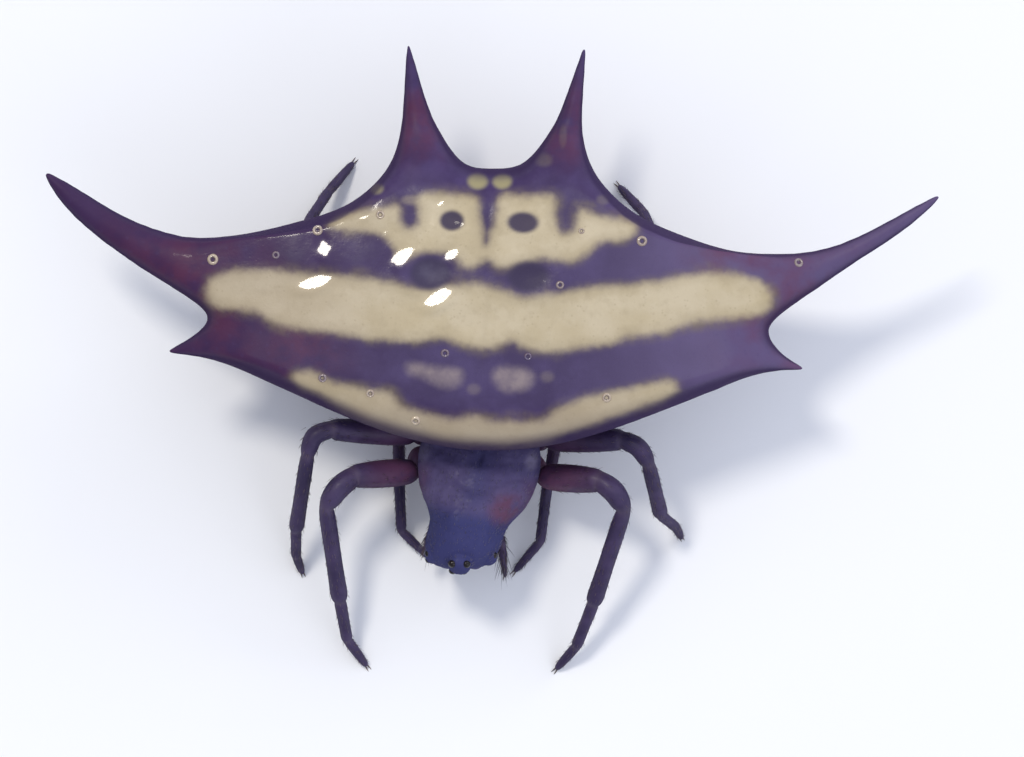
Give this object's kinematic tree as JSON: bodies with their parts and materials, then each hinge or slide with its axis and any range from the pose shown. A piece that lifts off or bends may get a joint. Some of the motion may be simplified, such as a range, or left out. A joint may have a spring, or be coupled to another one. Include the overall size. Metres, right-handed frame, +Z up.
{
  "type": "spiny orb weaver",
  "caption": "Life-size spiny orb weaver spider, still: a wide hard cream-banded abdomen shield with long curved spines, small dark front body and legs bent down to small flat soles.",
  "frame": {"origin": "on the surface under the feet, below the centre of the whole outline seen from above", "axes": "+X points to the animal's left side, -Y towards its head, +Y towards its tail, +Z up out of its back"},
  "size_m": [0.0188, 0.0133, 0.0044],
  "materials": {
    "shield": "polished dark purple-brown chitin with bands of ivory cream",
    "carapace": "satin blue-black chitin with a sparse pale down",
    "limb": "satin dark brown chitin, redder at the base of the femurs",
    "mouth": "glossy black-brown chitin",
    "underside": "satin dark brown, finely wrinkled"
  },
  "bodies": {
    "root": {"abdomen": "shield", "carapace": "carapace", "sternum": "underside", "pedicel": "underside", "spinnerets": "underside", "chelicera_left": "mouth", "chelicera_right": "mouth", "palp_left": "limb", "palp_right": "limb", "leg_1_left_coxa": "limb", "leg_1_left_femur": "limb", "leg_1_left_tibia": "limb", "leg_1_left_tarsus": "limb", "leg_1_right_coxa": "limb", "leg_1_right_femur": "limb", "leg_1_right_tibia": "limb", "leg_1_right_tarsus": "limb", "leg_2_left_coxa": "limb", "leg_2_left_femur": "limb", "leg_2_left_tibia": "limb", "leg_2_left_tarsus": "limb", "leg_2_right_coxa": "limb", "leg_2_right_femur": "limb", "leg_2_right_tibia": "limb", "leg_2_right_tarsus": "limb", "leg_3_left_coxa": "limb", "leg_3_left_femur": "limb", "leg_3_left_tibia": "limb", "leg_3_left_tarsus": "limb", "leg_3_right_coxa": "limb", "leg_3_right_femur": "limb", "leg_3_right_tibia": "limb", "leg_3_right_tarsus": "limb", "leg_4_left_coxa": "limb", "leg_4_left_femur": "limb", "leg_4_left_tibia": "limb", "leg_4_left_tarsus": "limb", "leg_4_right_coxa": "limb", "leg_4_right_femur": "limb", "leg_4_right_tibia": "limb", "leg_4_right_tarsus": "limb"}
  },
  "joints": []
}
